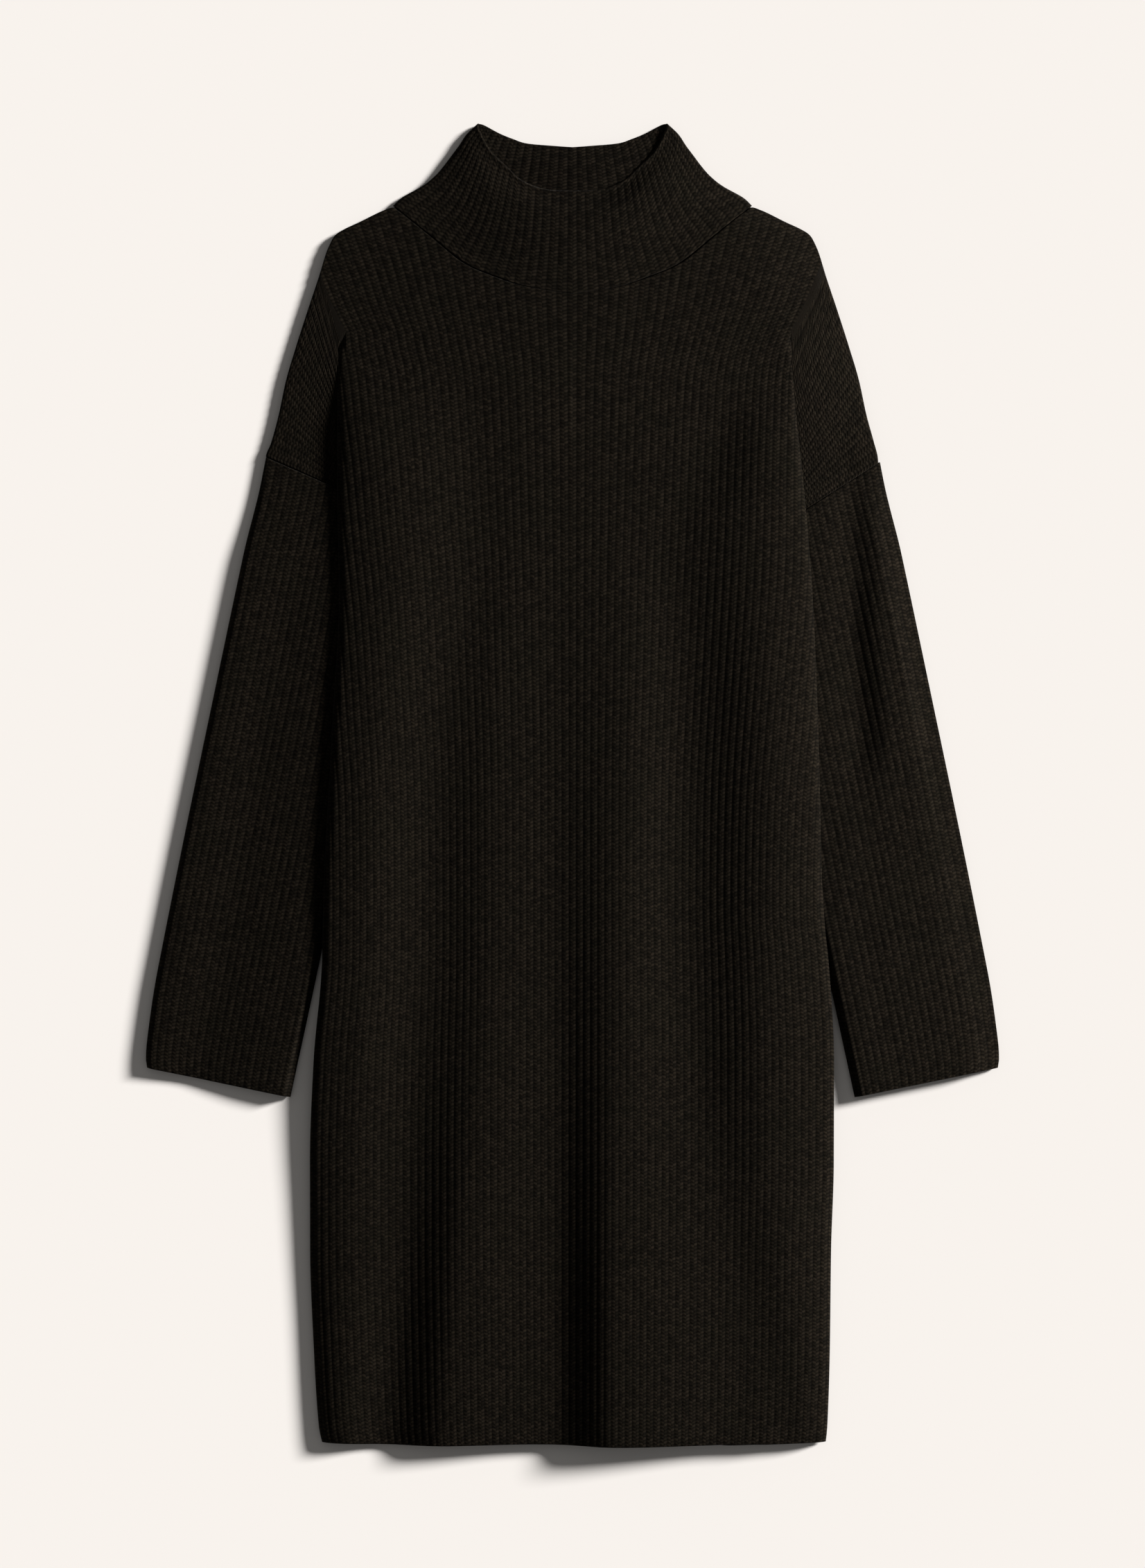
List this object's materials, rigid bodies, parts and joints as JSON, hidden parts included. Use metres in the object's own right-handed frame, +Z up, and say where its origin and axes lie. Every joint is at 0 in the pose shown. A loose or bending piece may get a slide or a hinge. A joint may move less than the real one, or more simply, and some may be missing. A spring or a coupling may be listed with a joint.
{
  "type": "sweater dress",
  "caption": "Knee-length ribbed sweater dress with a funnel collar, dropped shoulders and long straight sleeves, laid flat and face up.",
  "frame": {"origin": "centre of the laid dress's outline, on the surface it lies on", "axes": "+Y from hem to neck, +X across the dress to the picture's right, +Z up out of the surface, out of the front"},
  "size_m": [0.6758, 1.0482, 0.0234],
  "materials": {
    "rib_knit": "soft wool knit"
  },
  "bodies": {
    "root": {"front": "rib_knit", "back": "rib_knit", "sleeve_left": "rib_knit", "sleeve_right": "rib_knit", "collar": "rib_knit"}
  },
  "joints": []
}
